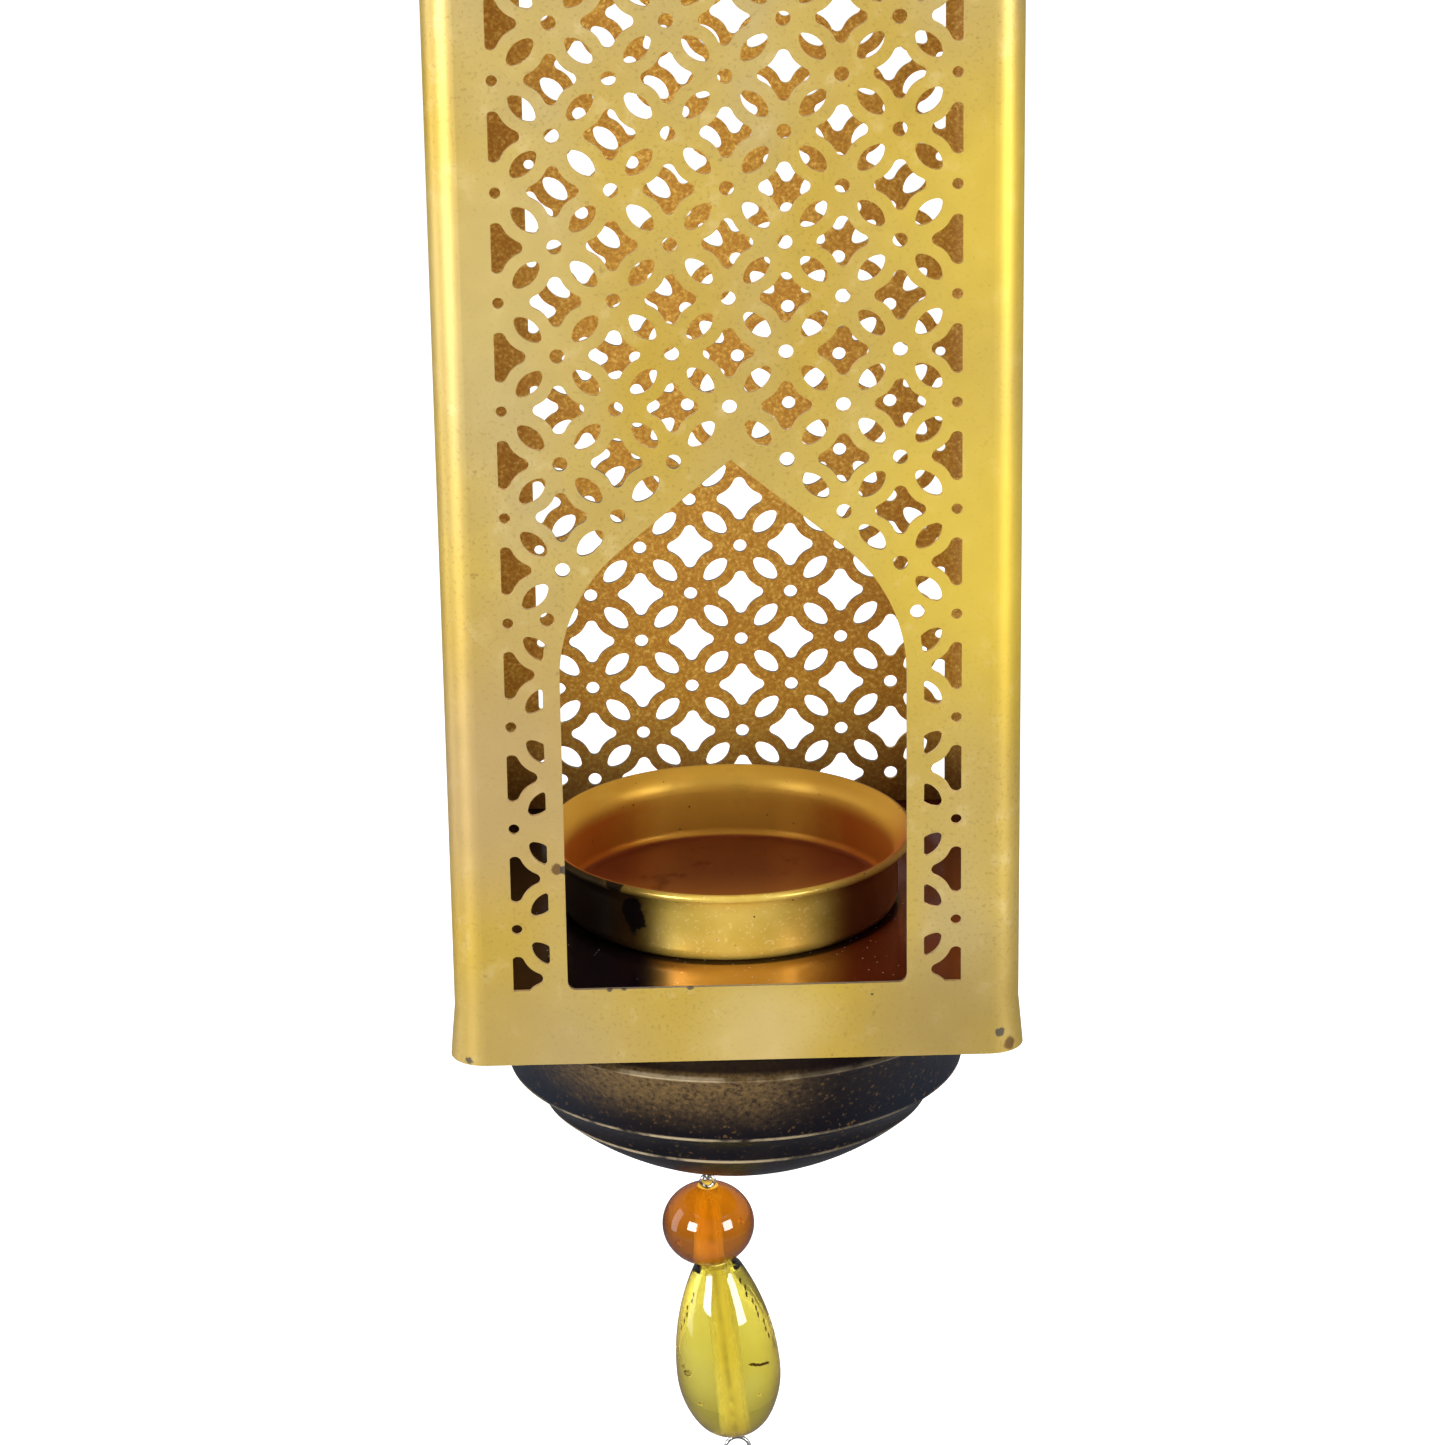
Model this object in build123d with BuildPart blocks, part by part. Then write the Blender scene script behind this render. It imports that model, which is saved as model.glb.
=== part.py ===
from build123d import *
import os
from math import cos, hypot, radians, sin

# Hanging lantern for one tealight: a pierced, folded sheet-steel tower with an arched
# door, a candle cup on its floor, a stepped bowl below and its twin on top, a short
# chain with a ring above, and two glass beads on a wire below.
# Millimetres. +Z is up, the door faces -Y. The origin is where the hanging ring
# bears on whatever carries the lantern, straight above the tower's centre line.

# ---- driving dimensions -------------------------------------------------------------

SHEET = 0.5                   # thickness of the tower's steel sheet
TOWER_WIDTH = 65.0            # outside, left to right and front to back
BEND_RADIUS = 3.5             # outside radius of the folded upright edges
FLANGE_DEPTH = 9.0            # how far the front and back fold round the sides
FLARE = 0.6                   # how far the folds spread at the tower's lower edge
FLARE_HEIGHT = 6.0

STEP_X = 6.25                 # half the pattern's pitch, sideways
STEP_Z = 6.125                # half the pattern's pitch, upwards
ROWS = 24                     # half pitches from the lowest row to the highest
BORDER_OVERHANG = 0.6         # the field's side border stands this far outside its last column
END_OVERHANG = 1.475          # and this far beyond its lowest and highest row
PLAIN_MARGIN = 9.2            # plain sheet below and above the field
BACK_SHIFT = 2.8              # the back's field was folded a little to one side

DOT_RADIUS = 0.82             # round hole at each crossing of the straps
BORDER_DOT_RADIUS = 0.62      # the same at the field's side borders
STAR_TIP_CENTRE = 2.07        # a star's tip is a round cap: centre and radius
STAR_TIP_RADIUS = 0.75
STAR_SIDE_CENTRE = 5.10       # a star's hollow side: centre, out along the diagonal, and radius
STAR_SIDE_RADIUS = 3.17
PETAL_HALF_WIDTH = 1.05
PETAL_SIDE_RADIUS = 2.6
PETAL_TIP_RADIUS = 0.55
CUT_CORNER = 0.3              # rounding where the door's band cuts a hole short
SMALLEST_HOLE = 0.7           # square millimetres; smaller remnants are left out,
STAR_REMNANT = 2.6            # and up to this size a round hole takes their place

DOOR_HALF_WIDTH = 19.4        # the door is a round arch drawn up to a point
DOOR_SPRING = 46.8            # heights above the tower's lower edge
DOOR_APEX = 72.0
DOOR_CORNER = 1.0
DOOR_BAND = 1.95              # plain band round the door

FLOOR_HEIGHT = 6.9            # top of the floor plate above the tower's lower edge
PLATE_SKIRT = 5.0             # fold round the floor and top plates
PLATE_GAP = 0.1               # between a plate's fold and the panels

CUP_INNER_RADIUS = 19.95      # takes a standard 38 mm tealight
CUP_WALL = 0.45
CUP_CORNER = 1.5
CUP_WALL_TOP = 6.3            # where the wall starts to flare
CUP_LIP_HEIGHT = 8.7          # centre of the rolled lip
CUP_LIP_OFFSET = 1.4          # lip's centre outside the wall
CUP_LIP_RADIUS = 0.5

DOME_SHEET = 0.5
DOME_NECK = (29.0, 1.1)       # radius and depth beyond the tower's edge: foot of the neck,
DOME_SHOULDER = (30.7, 3.5)   # the widest ridge
DOME_RIDGE = (27.6, 12.6)     # and two more ridges towards the pole
DOME_STEP = (23.5, 17.2)
DOME_BULGES = [0, 0.35, 0.45, 0.45]
DOME_POLE_DEPTH = 26.4        # pole of a dome beyond the edge of the tower
BOWL_SHIFT = 0.5              # the lower dome is fixed a little to the right

RING_RADIUS = 13.0            # centre line of the hanging ring
RING_WIRE = 1.2               # wire radii
LINK_WIRE = 0.8
EYE_WIRE = 1.0
LINK_BEND = 3.2               # centre line of a link's round end
LINK_STRAIGHT = 6.0
LINKS = 3
EYE_RADIUS = 4.0
HANG_GAP = 0.1                # play where one loop bears on the next

WASHER_RADIUS = 4.0
WASHER_THICKNESS = 0.8
STEM_RADIUS = 1.3
STEM_HOLE = 1.5
STEM_NECK = 1.6               # bare stem between the eye and its washer
STEM_TAIL = 1.6               # bare stem below the top plate
STEM_SPREAD = 7.0             # half the span of the stem's two spread ends
WIRE_HOLE = 0.9

BEAD_WIRE = 0.25
BEAD_LOOP = 0.8
HOOK_BALL = 1.2               # balled end of the wire; it rests in the bowl's hole
HOOK_DROP = 3.2               # the hook's lower loop below the bowl
HOOK_STRAIGHT = 0.9           # straight wire below the bowl before its bend
HOOK_NECK = 0.6               # straight wire above the lower loop
HOOK_BEND = 0.5
WIRE_PLAY = 0.06
PIN_NECK = 0.4                # from the pin's eye to the round bead
PIN_BEND = 6.0
PIN_TAIL = 0.6                # from the drop to the end loop
END_LOOP = 1.5                # loop that keeps the drop from sliding off
BEAD_BORE = 1.15
BEAD_OFFSET = -3.15           # the bent wire carries the round bead a little to the left
ROUND_BEAD_RADIUS = 5.7
ROUND_BEAD_HEIGHT = 10.5
DROP_LENGTH = 24.0
DROP_RADIUS = 6.5
DROP_TOP_RADIUS = 3.0
DROP_SHOULDER = 0.5           # bevel at its upper end
DROP_WIDEST = 14.9            # from its upper end
DROP_BELLY = (4.7, 6.4)       # radius, and how far below the widest place it is
DROP_TILT = 5.0               # degrees, its lower end to the right
DROP_SHIFT = 0.95             # its upper end lies this far right of the round bead's hole
BEAD_GAP = 0.15

# ---- heights ------------------------------------------------------------------------

TOWER_HEIGHT = 2 * (PLAIN_MARGIN + END_OVERHANG) + ROWS * STEP_Z
HALF = TOWER_WIDTH / 2
FLAT_HALF = HALF - BEND_RADIUS

ring_centre = -(RING_RADIUS - RING_WIRE)
ring_seat = ring_centre - RING_RADIUS + RING_WIRE      # inside of the ring, at its lowest
link_pitch = LINK_STRAIGHT + 2 * (LINK_BEND - LINK_WIRE) - HANG_GAP
eye_seat = ring_seat - LINKS * link_pitch + HANG_GAP   # inside of the eye, at its highest
eye_centre = eye_seat - (EYE_RADIUS - EYE_WIRE)
dome_top = eye_centre - EYE_RADIUS - STEM_NECK - WASHER_THICKNESS
tower_top = dome_top - DOME_POLE_DEPTH
tower_base = tower_top - TOWER_HEIGHT
bowl_pole = tower_base - DOME_POLE_DEPTH
floor_top = tower_base + FLOOR_HEIGHT
hook_pivot = bowl_pole + DOME_SHEET + (HOOK_BALL ** 2 - WIRE_HOLE ** 2) ** 0.5 + WIRE_PLAY
hook_seat = bowl_pole - HOOK_DROP                      # centre of the bead hook's lower loop


# ---- the pierced pattern ------------------------------------------------------------

def star_hole():
    """Four-pointed star with hollow sides and round tips."""
    side = STAR_SIDE_CENTRE * cos(radians(45))
    reach = hypot(side - STAR_TIP_CENTRE, side)
    touch_x = STAR_TIP_CENTRE + STAR_TIP_RADIUS * (side - STAR_TIP_CENTRE) / reach
    touch_y = STAR_TIP_RADIUS * side / reach
    tip = STAR_TIP_CENTRE + STAR_TIP_RADIUS
    waist = (STAR_SIDE_CENTRE - STAR_SIDE_RADIUS) * cos(radians(45))
    with BuildSketch() as star:
        with BuildLine() as outline:
            for turn in range(4):
                corner = Location((0, 0, 0), (0, 0, 90 * turn))
                cap = [(touch_x, -touch_y), (tip, 0), (touch_x, touch_y)]
                side_arc = [(touch_x, touch_y), (waist, waist), (touch_y, touch_x)]
                for points in (cap, side_arc):
                    turned = [(corner * Location((x, y, 0))).position for x, y in points]
                    ThreePointArc(*turned)
        make_face()
    return star.sketch


def petal_hole(angle):
    """Lens with rounded ends, its length at this angle."""
    half_length = (PETAL_SIDE_RADIUS ** 2 - (PETAL_SIDE_RADIUS - PETAL_HALF_WIDTH) ** 2) ** 0.5
    with BuildSketch() as petal:
        with BuildLine(Plane.XY.rotated((0, 0, angle))):
            ThreePointArc((-half_length, 0), (0, PETAL_HALF_WIDTH), (half_length, 0))
            ThreePointArc((half_length, 0), (0, -PETAL_HALF_WIDTH), (-half_length, 0))
        make_face()
        fillet(petal.vertices(), PETAL_TIP_RADIUS)
    return petal.sketch


def dot_hole(radius):
    with BuildSketch() as dot:
        Circle(radius)
    return dot.sketch


def row_height(row):
    return tower_base + PLAIN_MARGIN + END_OVERHANG + row * STEP_Z


def door_outline(grow):
    """The arched door, or the same outline grown by a plain band."""
    radius = DOOR_HALF_WIDTH + grow
    spring = tower_base + DOOR_SPRING
    rise = (DOOR_APEX - DOOR_SPRING) * radius / DOOR_HALF_WIDTH
    touch = radius ** 2 / rise
    touch_x = (radius ** 2 - touch ** 2) ** 0.5
    mid = radius * cos(radians(25))
    mid_up = radius * sin(radians(25))
    sill = tower_base + PLAIN_MARGIN
    with BuildSketch() as door:
        with BuildLine():
            Line((-radius, sill), (-radius, spring))
            ThreePointArc((-radius, spring), (-mid, spring + mid_up), (-touch_x, spring + touch))
            Line((-touch_x, spring + touch), (0, spring + rise))
            Line((0, spring + rise), (touch_x, spring + touch))
            ThreePointArc((touch_x, spring + touch), (mid, spring + mid_up), (radius, spring))
            Line((radius, spring), (radius, sill))
            Line((radius, sill), (-radius, sill))
        make_face()
        if not grow:
            fillet(door.vertices().group_by(Axis.Y)[0], DOOR_CORNER)
    return door.sketch


def soften_cut(hole, door):
    """Rounds the two sharp corners of a hole that the band round the door has cut short."""
    corners = [corner for corner in hole.vertices() if corner.distance_to(door) < 1e-4]
    return hole.fillet_2d(CUT_CORNER, corners) if len(corners) == 2 else hole


def pattern_places(half_columns, shift):
    """Where the stars and dots are, and the petals that lean each way, in a panel's plane."""
    stars = []
    dots = []
    petals = {45: [], -45: []}
    for row in range(ROWS + 1):
        for column in range(-half_columns, half_columns + 1):
            place = (shift + column * STEP_X, row_height(row))
            if (row + column) % 2 == 0:
                stars.append(place)
                lean = -45
            else:
                dots.append(place)
                lean = 45
            if row < ROWS and column < half_columns:
                petals[lean].append((place[0] + STEP_X / 2, place[1] + STEP_Z / 2))
    return stars, dots, petals


def pierced_field(half_columns, shift=0.0, door=None):
    """All holes of one panel, in the panel's own plane: x across, y up."""
    stars, dots, petals = pattern_places(half_columns, shift)
    border = half_columns * STEP_X
    height = ROWS * STEP_Z + 2 * END_OVERHANG
    star = star_hole()
    with BuildSketch() as field:
        with Locations(*stars):
            add(star)
        for lean, places in petals.items():
            petal = petal_hole(lean)
            with Locations(*places):
                add(petal)
        with Locations((shift, (row_height(0) + row_height(ROWS)) / 2)):
            Rectangle(2 * (border + BORDER_OVERHANG), height, mode=Mode.INTERSECT)
        if door:
            add(door, mode=Mode.SUBTRACT)
    holes = [face for face in field.sketch.faces() if face.area > SMALLEST_HOLE]
    if door:
        dots = [(x, y) for x, y in dots if not door.face().is_inside(Vector(x, y, 0))]
        dots += [tuple(hole.center())[:2] for hole in holes if hole.area < STAR_REMNANT]
        holes = [soften_cut(hole, door.face()) for hole in holes if hole.area >= STAR_REMNANT]
    for x, y in dots:
        at_border = abs(abs(x - shift) - border) < 1e-6
        dot = dot_hole(BORDER_DOT_RADIUS if at_border else DOT_RADIUS)
        holes.append(dot.face().moved(Location((x, y, 0))))
    return Sketch(children=holes)


# ---- the tower's four panels --------------------------------------------------------

def pierced_sheet(half_width, holes):
    """Flat sheet the tower's full height with every hole in it, in the panel's own plane."""
    with BuildSketch() as blank:
        with Locations((0, tower_base + TOWER_HEIGHT / 2)):
            Rectangle(2 * half_width, TOWER_HEIGHT)
    rims = [hole.outer_wire() for hole in holes]
    return Face(blank.face().outer_wire(), rims)


def fold_profile(side, flare):
    """One folded side of the front panel seen from above: its bend and flange.

    side is -1 for left, 1 for right; flare is how far the fold is spread outwards.
    """
    outer = BEND_RADIUS + flare
    with BuildSketch() as profile:
        with Locations((side * (FLAT_HALF + flare) / 2, -HALF + FLANGE_DEPTH)):
            Rectangle(FLAT_HALF + flare + 2 * BEND_RADIUS, 2 * FLANGE_DEPTH)
        corners = profile.vertices().group_by(Axis.Y)[0].sort_by(Axis.X)
        fillet(corners[-1 if side > 0 else 0], outer)
        offset(amount=-SHEET, mode=Mode.SUBTRACT)
        with Locations((0, -HALF + 1.5 * FLANGE_DEPTH)):
            Rectangle(2 * TOWER_WIDTH, FLANGE_DEPTH, mode=Mode.SUBTRACT)
        with Locations((0, -HALF)):
            Rectangle(2 * FLAT_HALF, 2 * TOWER_WIDTH, mode=Mode.SUBTRACT)
    return profile.sketch


def make_folds():
    """Both folds of the front panel, spread a little at the tower's lower edge."""
    profiles = [(fold_profile(side, 0), fold_profile(side, FLARE)) for side in (-1, 1)]
    with BuildPart() as folds:
        for straight, spread in profiles:
            with BuildSketch(Plane.XY.offset(tower_base)):
                add(spread)
            with BuildSketch(Plane.XY.offset(tower_base + FLARE_HEIGHT)):
                add(straight)
            loft(clean=False)
            with BuildSketch(Plane.XY.offset(tower_base + FLARE_HEIGHT)):
                add(straight)
            extrude(amount=TOWER_HEIGHT - FLARE_HEIGHT, clean=False)
    return folds


def make_front_panel():
    grown = door_outline(DOOR_BAND)
    holes = pierced_field(4, door=grown).faces() + door_outline(0).faces()
    sheet = pierced_sheet(FLAT_HALF, holes)
    folds = make_folds()
    with BuildPart() as front_panel:
        with BuildSketch(Plane.XZ.offset(HALF - SHEET)):
            add(sheet, clean=False)
        extrude(amount=SHEET, clean=False)
        add(folds.part, clean=False)
    return front_panel


def make_back_panel():
    sheet = pierced_sheet(FLAT_HALF, pierced_field(4, shift=BACK_SHIFT).faces())
    folds = make_folds()
    with BuildPart() as back_panel:
        with BuildSketch(Plane.XZ.offset(-HALF)):
            add(sheet, clean=False)
        extrude(amount=SHEET, clean=False)
        add(folds.part.mirror(Plane.XZ), clean=False)
    return back_panel


def make_side_panel(side):
    """Flat pierced sheet behind the flanges; side is -1 for left, 1 for right."""
    sheet = pierced_sheet(FLAT_HALF - PLATE_GAP, pierced_field(3).faces())
    back = side * (HALF - 1.5 * SHEET) - SHEET / 2
    with BuildPart() as panel:
        with BuildSketch(Plane.YZ.offset(back)):
            add(sheet, clean=False)
        extrude(amount=SHEET, clean=False)
    return panel


# ---- floor and top plates -----------------------------------------------------------

def make_plate(level, skirt_side, hole_radius):
    """Square plate with a fold all round; skirt_side is -1 for down, 1 for up."""
    width = TOWER_WIDTH - 4 * SHEET - 2 * PLATE_GAP
    depth = TOWER_WIDTH - 2 * SHEET - 2 * PLATE_GAP
    corner = BEND_RADIUS
    with BuildPart() as plate:
        with BuildSketch(Plane.XY.offset(level)):
            RectangleRounded(width, depth, corner)
        extrude(amount=skirt_side * PLATE_SKIRT)
        with BuildSketch(Plane.XY.offset(level + skirt_side * SHEET)):
            RectangleRounded(width - 2 * SHEET, depth - 2 * SHEET, corner - SHEET)
        extrude(amount=skirt_side * PLATE_SKIRT, mode=Mode.SUBTRACT)
        if hole_radius:
            with BuildSketch(Plane.XY.offset(level - 1)):
                Circle(hole_radius)
            extrude(amount=2 + SHEET, mode=Mode.SUBTRACT)
    return plate


# ---- candle cup ---------------------------------------------------------------------

def make_tealight_cup():
    """Pressed cup: flat floor, upright wall, flared mouth and a rolled lip."""
    outer = CUP_INNER_RADIUS + CUP_WALL
    lip = outer + CUP_LIP_OFFSET
    inner_corner = CUP_CORNER - CUP_WALL
    mouth = CUP_LIP_HEIGHT + CUP_LIP_RADIUS
    tuck = 0.1                # the wall's edge ends this far inside the lip's round
    with BuildPart() as cup:
        with BuildSketch(Plane.XZ):
            with BuildLine():
                base = Polyline((0, floor_top + CUP_WALL), (0, floor_top), (outer - CUP_CORNER, floor_top))
                heel = RadiusArc(base @ 1, (outer, floor_top + CUP_CORNER), -CUP_CORNER)
                wall = Line(heel @ 1, (outer, floor_top + CUP_WALL_TOP))
                flare = TangentArc(wall @ 1, (lip - tuck, floor_top + CUP_LIP_HEIGHT - tuck), tangent=(0, 1))
                edge = Line(flare @ 1, (lip - tuck, floor_top + mouth - tuck / 5))
                rise = TangentArc((CUP_INNER_RADIUS, floor_top + CUP_WALL_TOP), edge @ 1, tangent=(0, 1))
                inside = Line(rise @ 0, (CUP_INNER_RADIUS, floor_top + CUP_CORNER))
                toe = RadiusArc(inside @ 1, (outer - CUP_CORNER, floor_top + CUP_WALL), inner_corner)
                Line(toe @ 1, base @ 0)
            make_face()
            with Locations((lip, floor_top + CUP_LIP_HEIGHT)):
                Circle(CUP_LIP_RADIUS)
        revolve(axis=Axis.Z)
    return cup


# ---- stepped domes ------------------------------------------------------------------

def dome_outline(inset):
    """Radius and depth beyond the tower's edge, from the neck to the pole.

    inset is 0 for the outside; for the inside each corner moves in by about that much.
    """
    corners = [(DOME_NECK, 1, -0.4), (DOME_SHOULDER, 1, 0.2), (DOME_RIDGE, 0.9, -0.4), (DOME_STEP, 0.7, -0.7)]
    outline = [(DOME_NECK[0] - inset, -FLOOR_HEIGHT + SHEET)]
    for (radius, depth), inwards, towards_pole in corners:
        outline.append((radius - inwards * inset, depth + towards_pole * inset))
    outline.append((0, DOME_POLE_DEPTH - inset))
    return outline


def make_dome(edge, direction, hole_radius, shift):
    """Pressed dome in three steps; direction is -1 below the tower, 1 above it."""
    with BuildPart() as dome:
        with BuildSketch(Plane.XZ):
            with BuildLine():
                ends = []
                for inset in (0, DOME_SHEET):
                    points = [(shift + r, edge + direction * d) for r, d in dome_outline(inset)]
                    for start, end, bulge in zip(points[:-2], points[1:-1], DOME_BULGES):
                        if bulge:
                            SagittaArc(start, end, direction * bulge)
                        else:
                            Line(start, end)
                    TangentArc(points[-1], points[-2], tangent=(1, 0))
                    ends.append((points[0], points[-1]))
                Line(ends[0][0], ends[1][0])
                Line(ends[0][1], ends[1][1])
            make_face()
        revolve(axis=Axis((shift, 0, 0), (0, 0, 1)))
        pole = edge + direction * (DOME_POLE_DEPTH - 2)
        with BuildSketch(Plane.XY.offset(pole)):
            with Locations((shift, 0)):
                Circle(hole_radius)
        extrude(amount=direction * 4, mode=Mode.SUBTRACT)
    return dome


# ---- hanging ring, chain and eye ----------------------------------------------------

def make_hanging_ring():
    with BuildPart() as ring:
        with Locations(Location((0, 0, ring_centre), (90, 0, 0))):
            Torus(RING_RADIUS, RING_WIRE)
    return ring


def make_link(index):
    """Oval link of round wire; even links lie in the YZ plane, odd ones in XZ."""
    seat = ring_seat - index * link_pitch + HANG_GAP
    upper = seat - (LINK_BEND - LINK_WIRE)
    lower = upper - LINK_STRAIGHT
    plane = Plane.YZ if index % 2 == 0 else Plane.XZ
    with BuildPart() as link:
        with BuildLine(plane) as path:
            Line((-LINK_BEND, lower), (-LINK_BEND, upper))
            ThreePointArc((-LINK_BEND, upper), (0, upper + LINK_BEND), (LINK_BEND, upper))
            Line((LINK_BEND, upper), (LINK_BEND, lower))
            ThreePointArc((LINK_BEND, lower), (0, lower - LINK_BEND), (-LINK_BEND, lower))
        with BuildSketch(path.line ^ 0):
            Circle(LINK_WIRE)
        sweep(path=path.wires()[0])
    return link


def make_top_eye():
    """Wire eye; its stem runs down through dome and top plate, its two ends spread."""
    stem_foot = tower_top - FLOOR_HEIGHT - STEM_TAIL
    with BuildPart() as eye:
        with Locations(Location((0, 0, eye_centre), (90, 0, 0))):
            Torus(EYE_RADIUS, EYE_WIRE)
        with BuildSketch(Plane.XY.offset(stem_foot)):
            Circle(STEM_RADIUS)
        extrude(amount=eye_centre - EYE_RADIUS - stem_foot)
        with BuildSketch(Plane.YZ):
            with Locations((0, stem_foot)):
                Circle(EYE_WIRE)
        extrude(amount=STEM_SPREAD, both=True)
    return eye


def make_washer():
    with BuildPart() as washer:
        with BuildSketch(Plane.XY.offset(dome_top)):
            Circle(WASHER_RADIUS)
            Circle(STEM_HOLE, mode=Mode.SUBTRACT)
        extrude(amount=WASHER_THICKNESS)
        rim = washer.edges().group_by(Axis.Z)[-1].sort_by(SortBy.RADIUS)[-1]
        fillet(rim, WASHER_THICKNESS * 0.6)
    return washer


# ---- bead drop ----------------------------------------------------------------------

pin_eye = (BEAD_OFFSET, hook_seat - 2 * (BEAD_LOOP - BEAD_WIRE) + WIRE_PLAY)
round_top = pin_eye[1] - PIN_NECK
round_centre = round_top - ROUND_BEAD_HEIGHT / 2
bend_height = round_top - ROUND_BEAD_HEIGHT - BEAD_GAP
tilt = radians(DROP_TILT)
drop_axis = Vector(sin(tilt), 0, -cos(tilt))
drop_top = Vector(BEAD_OFFSET + DROP_SHIFT, 0, bend_height)
pin_end = drop_top + drop_axis * (DROP_LENGTH + PIN_TAIL)


def make_bead_hook():
    """Wire hanging by its balled end in the bowl's hole, with a small loop below."""
    with BuildPart() as hook:
        with Locations((BOWL_SHIFT, 0, hook_pivot)):
            Sphere(HOOK_BALL)
        with BuildLine() as path:
            FilletPolyline(
                (BOWL_SHIFT, 0, hook_pivot),
                (BOWL_SHIFT, 0, bowl_pole - HOOK_STRAIGHT),
                (BEAD_OFFSET, 0, hook_seat + BEAD_LOOP + HOOK_NECK),
                (BEAD_OFFSET, 0, hook_seat + BEAD_LOOP),
                radius=HOOK_BEND,
            )
        with BuildSketch(path.line ^ 0):
            Circle(BEAD_WIRE)
        sweep(path=path.wires()[0])
        with Locations(Location((BEAD_OFFSET, 0, hook_seat), (0, 90, 0))):
            Torus(BEAD_LOOP, BEAD_WIRE)
    return hook


def make_bead_pin():
    """Wire through both beads: an eye at the top, a bend between the beads, a loop below."""
    with BuildPart() as pin:
        with Locations(Location((pin_eye[0], 0, pin_eye[1]), (90, 0, 0))):
            Torus(BEAD_LOOP, BEAD_WIRE)
        with BuildLine() as path:
            FilletPolyline(
                (BEAD_OFFSET, 0, pin_eye[1] - BEAD_LOOP),
                (BEAD_OFFSET + DROP_SHIFT / 2, 0, bend_height),
                pin_end,
                radius=PIN_BEND,
            )
        with BuildSketch(path.line ^ 0):
            Circle(BEAD_WIRE)
        sweep(path=path.wires()[0])
        loop = pin_end + drop_axis * END_LOOP
        with Locations(Location(tuple(loop), (90, 0, 0))):
            Torus(END_LOOP, BEAD_WIRE)
    return pin


def make_round_bead():
    """Slightly flattened glass ball with a drilled hole."""
    with BuildPart() as bead:
        with BuildSketch(Plane.XZ):
            with Locations((BEAD_OFFSET, round_centre)):
                Ellipse(ROUND_BEAD_RADIUS, ROUND_BEAD_HEIGHT / 2)
            with Locations((BEAD_OFFSET - ROUND_BEAD_RADIUS, round_centre)):
                Rectangle(2 * (ROUND_BEAD_RADIUS + BEAD_BORE), 2 * ROUND_BEAD_HEIGHT, mode=Mode.SUBTRACT)
        revolve(axis=Axis((BEAD_OFFSET, 0, round_centre), (0, 0, 1)))
    return bead


def make_drop_bead():
    """Teardrop of glass: narrow above, full and round below, drilled along its length."""
    plane = Plane(origin=drop_top, x_dir=(0, 1, 0), z_dir=drop_axis.cross(Vector(0, 1, 0)))
    with BuildPart() as bead:
        with BuildSketch(plane):
            with BuildLine():
                top = Line((0, 0), (DROP_TOP_RADIUS - DROP_SHOULDER, 0))
                shoulder = Line(top @ 1, (DROP_TOP_RADIUS, -DROP_SHOULDER))
                widest = (DROP_RADIUS, -DROP_WIDEST)
                flank = TangentArc(widest, shoulder @ 1, tangent=(0, 1))
                low = (DROP_BELLY[0], -DROP_WIDEST - DROP_BELLY[1])
                belly = TangentArc(widest, low, tangent=(0, -1))
                foot = TangentArc(belly @ 1, (0, -DROP_LENGTH), tangent=belly % 1)
                Line(foot @ 1, top @ 0)
            make_face()
            Rectangle(2 * BEAD_BORE, 3 * DROP_LENGTH, mode=Mode.SUBTRACT)
        revolve(axis=Axis(tuple(drop_top), tuple(drop_axis)))
    return bead


# ---- assembly -----------------------------------------------------------------------

def main():
    os.makedirs("parts", exist_ok=True)
    pieces = {
        "hanging_ring": make_hanging_ring(),
        "top_eye": make_top_eye(),
        "eye_washer": make_washer(),
        "top_dome": make_dome(tower_top, 1, STEM_HOLE, 0),
        "top_plate": make_plate(tower_top - FLOOR_HEIGHT, 1, STEM_HOLE),
        "front_panel": make_front_panel(),
        "back_panel": make_back_panel(),
        "left_side_panel": make_side_panel(-1),
        "right_side_panel": make_side_panel(1),
        "floor_plate": make_plate(floor_top, -1, 0),
        "tealight_cup": make_tealight_cup(),
        "bottom_bowl": make_dome(tower_base, -1, WIRE_HOLE, BOWL_SHIFT),
        "bead_hook": make_bead_hook(),
        "bead_pin": make_bead_pin(),
        "round_bead": make_round_bead(),
        "drop_bead": make_drop_bead(),
    }
    for index in range(LINKS):
        pieces[f"chain_link_{index + 1}"] = make_link(index)
    for name, piece in pieces.items():
        piece.part.label = name
        export_step(piece.part, f"parts/{name}.step")
        print(name, "volume", round(piece.part.volume, 2))


main()
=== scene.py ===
import math

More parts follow.
